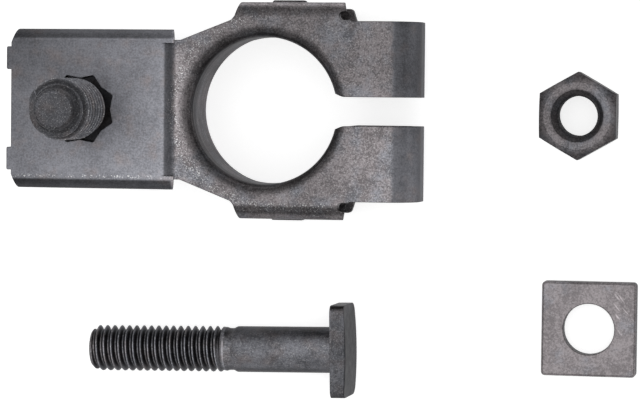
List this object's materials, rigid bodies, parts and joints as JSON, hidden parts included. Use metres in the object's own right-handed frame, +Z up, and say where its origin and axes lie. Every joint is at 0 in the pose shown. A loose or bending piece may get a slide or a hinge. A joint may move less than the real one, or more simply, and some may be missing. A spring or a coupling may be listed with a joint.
{
  "type": "battery terminal clamp",
  "caption": "Folded sheet-steel clamp for a car battery post, with a cable stud on its raised platform; T-bolt, hexagon nut and square washer lie beside it.",
  "frame": {"origin": "on the axis of the post bore, halfway up the straight wall of the upper collar that grips the post", "axes": "+X from the post bore towards the ears, +Y across them, +Z up along the battery post; the pieces lie on the ground at z = -6.875 mm"},
  "size_m": [0.0809, 0.0515, 0.0249],
  "materials": {
    "clamp_steel": "dull zinc or tin plating, finely grained",
    "stud_steel": "dark plated thread",
    "bolt_steel": "dark plated thread",
    "nut_steel": "dark plated",
    "washer_steel": "dull plated, lightly scratched"
  },
  "bodies": {
    "root": {"clamp_body": "clamp_steel", "terminal_stud": "stud_steel", "clamp_bolt": "bolt_steel", "clamp_nut": "nut_steel", "square_washer": "washer_steel"}
  },
  "joints": []
}
